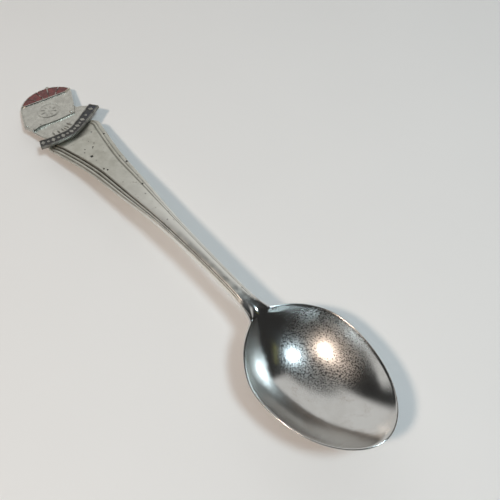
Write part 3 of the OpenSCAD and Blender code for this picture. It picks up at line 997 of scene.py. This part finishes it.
def dark_enamel():
    """Opaque blackish glass, bluer towards the right end of the scroll."""
    m = Shader("dark_enamel")
    colour = m.blend(m.span(m.noise(0.7, 4), 0.3, 0.7), (0.01, 0.0095, 0.0095), (0.02, 0.019, 0.018))
    blue = m.math("MULTIPLY", m.span(m.axis("Y"), -3, -8), m.span(m.noise(0.5, 3), 0.25, 0.6))
    colour = m.blend(m.math("MULTIPLY", blue, 0.7), colour, (0.012, 0.017, 0.034))
    rough = m.span(m.noise(1.5, 4), 0.3, 0.7, 0.2, 0.42)
    m.set(Base_Color=colour, Roughness=rough, IOR=1.5, Normal=m.bump(m.noise(2.6, 3), 0.00003, 0.4))
    return m.material


def table_top():
    m = Shader("table")
    colour = m.blend(m.noise(0.03, 3), (0.8, 0.795, 0.785), (0.775, 0.77, 0.76))
    rough = m.span(m.noise(0.4, 3), 0.3, 0.7, 0.55, 0.65)
    normal = m.bump(m.noise(1.2, 3), 0.00002, 0.2)
    m.set(Base_Color=colour, Roughness=rough, Specular_IOR_Level=0.25, Normal=normal)
    return m.material


# --- surroundings ---------------------------------------------------------------------------------

WARM_WAY = (-0.63, -0.498, 1.0)             # towards the lights, as table_way takes them
COOL_WAY = (0.395, -0.16, 1.0)
FILL_WAY = (0.0, -0.3, 1.0)
LIGHT_FAR = 0.6
WARM = (1.0, 0.82, 0.69)
COOL = (0.72, 0.9, 1.0)
LIT_AT = (25.0, 0.0, 3.0)                   # the place in the bowl that the lights point at
WALL_LEVEL, BAND_LEVEL, ROOM_LEVEL = 0.7, 0.7, 0.035
ROOM_COLOUR = (1, 1, 0.98)
STRIP_COLOUR = (14.0, 14.0, 4.0)            # brighter than the rest, and yellow
TABLE_HALF = 1.5


def make_light(name, way, colour, power, across):
    data = bpy.data.lights.new(name, "AREA")
    data.shape = "DISK"
    data.size = across
    data.energy = power
    data.color = colour
    light = bpy.data.objects.new(name, data)
    bpy.context.scene.collection.objects.link(light)
    towards = table_way(*way).normalized()
    light.location = Vector(place(*LIT_AT)) + towards * LIGHT_FAR
    light.rotation_mode = "QUATERNION"
    light.rotation_quaternion = towards.to_track_quat("Z", "Y")
    return light


def make_world():
    """A dark room with a wide pale wall across the table, a low pale band and a bright strip."""
    world = bpy.data.worlds.new("room")
    bpy.context.scene.world = world
    world.use_nodes = True
    tree = world.node_tree
    background = tree.nodes["Background"]

    def add(kind, inputs=(), **settings):
        node = tree.nodes.new(kind)
        for key, value in settings.items():
            setattr(node, key, value)
        for i, value in enumerate(inputs):
            if isinstance(value, bpy.types.NodeSocket):
                tree.links.new(value, node.inputs[i])
            else:
                node.inputs[i].default_value = value
        return node.outputs[0]

    def calc(operation, a, b=0.0):
        return add("ShaderNodeMath", (a, b), operation=operation)

    def step(value, low, high):
        ends = (value, low, high, 0.0, 1.0)
        return add("ShaderNodeMapRange", ends, interpolation_type="SMOOTHSTEP")

    def between(value, rise, fall):
        return calc("MULTIPLY", step(value, *rise), step(value, *fall))

    way = tree.nodes.new("ShaderNodeTexCoord").outputs["Generated"]

    def part(direction):
        node = tree.nodes.new("ShaderNodeVectorMath")
        node.operation = "DOT_PRODUCT"
        tree.links.new(way, node.inputs[0])
        node.inputs[1].default_value = direction
        return node.outputs["Value"]

    right, away, up = part(table_way(1, 0)), part(table_way(0, 1)), part((0, 0, 1))
    bearing = calc("ARCTAN2", right, away)
    wall = calc("MULTIPLY", between(bearing, (-1.15, -0.95), (0.95, 0.8)), step(up, 0.84, 0.76))
    low = calc("MULTIPLY", between(bearing, (-2.5, -2.1), (-1.25, -1.5)), step(up, 0.2, 0.14))
    strip = between(bearing, (1.28, 1.34), (1.84, 1.78))
    strip = calc("MULTIPLY", strip, between(up, (0.585, 0.6), (0.635, 0.62)))
    level = calc("ADD", calc("MULTIPLY", wall, WALL_LEVEL), calc("MULTIPLY", low, BAND_LEVEL))
    level = calc("ADD", level, ROOM_LEVEL)
    mixed = tree.nodes.new("ShaderNodeMix")
    mixed.data_type = "RGBA"
    tree.links.new(strip, mixed.inputs[0])
    mixed.inputs[6].default_value = (*ROOM_COLOUR, 1)
    mixed.inputs[7].default_value = (*STRIP_COLOUR, 1)
    tree.links.new(mixed.outputs[2], background.inputs[0])
    tree.links.new(level, background.inputs[1])


def make_stage():
    floor = bpy.data.meshes.new("table")
    z = min(cad_lo.z, 0.0)
    corners = [(x * TABLE_HALF, y * TABLE_HALF, z) for x, y in ((-1, -1), (1, -1), (1, 1), (-1, 1))]
    floor.from_pydata(corners, [], [(0, 1, 2, 3)])
    table = bpy.data.objects.new("table", floor)
    bpy.context.scene.collection.objects.link(table)
    floor.materials.append(table_top())


# --- making ---------------------------------------------------------------------------------------

hand_in(make_spoon(), "spoon_body", plated_steel())
hand_in(make_plate(), "badge_plate", badge_metal())
hand_in(make_solder(), "solder_joint", solder_metal())
red = red_enamel()
for i in range(CELLS):
    name = f"red_enamel_{i + 1}"
    hand_in(make_pool(name, cap_cell(i)), name, red)
dark = dark_enamel()
ornaments = [ornament(i) for i in range(ORNAMENTS)]
hand_in(make_pool("scroll_enamel", scroll_ground(), ornaments), "scroll_enamel", dark)

make_stage()
make_world()
make_light("warm_light", WARM_WAY, WARM, power=1.6, across=0.08)
make_light("cool_light", COOL_WAY, COOL, power=1.38, across=0.15)
fill = make_light("fill_light", FILL_WAY, (1.0, 1.0, 1.0), power=0.65, across=0.9)
fill.visible_glossy = False
bpy.context.scene.view_settings.view_transform = "Standard"
